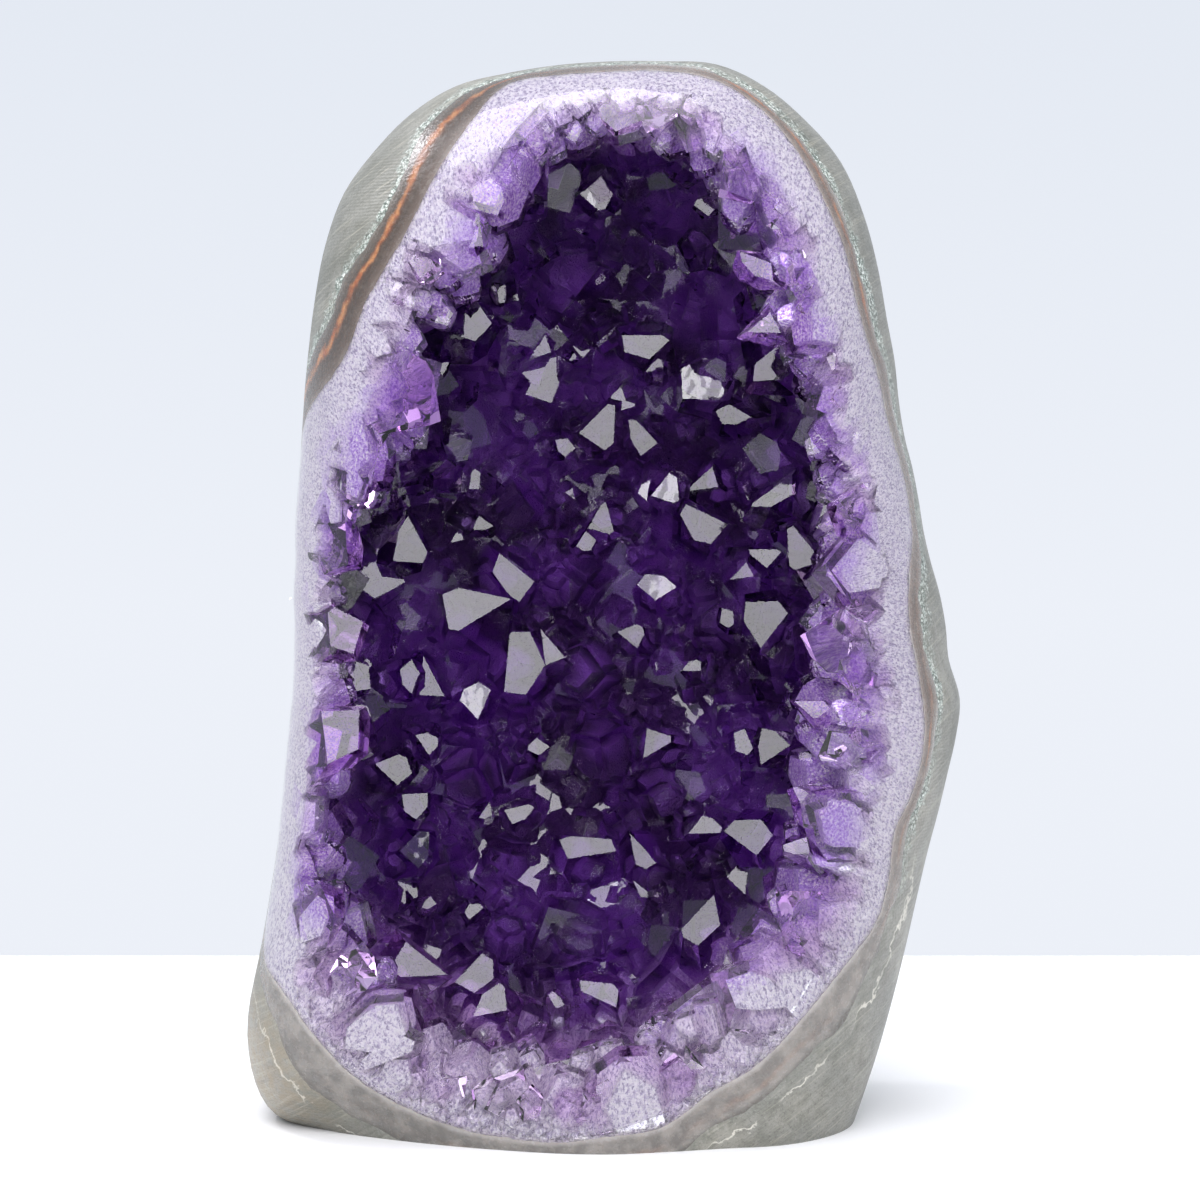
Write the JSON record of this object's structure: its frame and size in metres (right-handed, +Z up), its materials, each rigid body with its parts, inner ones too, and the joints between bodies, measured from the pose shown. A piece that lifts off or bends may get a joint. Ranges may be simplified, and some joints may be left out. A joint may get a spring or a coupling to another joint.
{
  "type": "amethyst geode",
  "caption": "Standing cut-base amethyst geode: a basalt nodule with a polished front rim, an agate band and a deep hollow lined with amethyst points.",
  "frame": {"origin": "on the sawn flat base, at the middle of the stone's bounding box", "axes": "+Z up through the height of the stone; the open hollow faces -Y; +X is to the right of someone looking into the hollow"},
  "size_m": [0.1352, 0.1024, 0.2002],
  "materials": {
    "basalt": "sawn and ground, fine grained, matt to satin; natural rough skin behind",
    "agate": "polished, brown-grey translucent with a fine rust-orange line",
    "amethyst": "clear violet quartz points with glassy natural faces on white massive quartz, polished where the front dome cuts them"
  },
  "bodies": {
    "root": {"basalt_rind": "basalt", "agate_band": "agate", "amethyst_druse": "amethyst"}
  },
  "joints": []
}
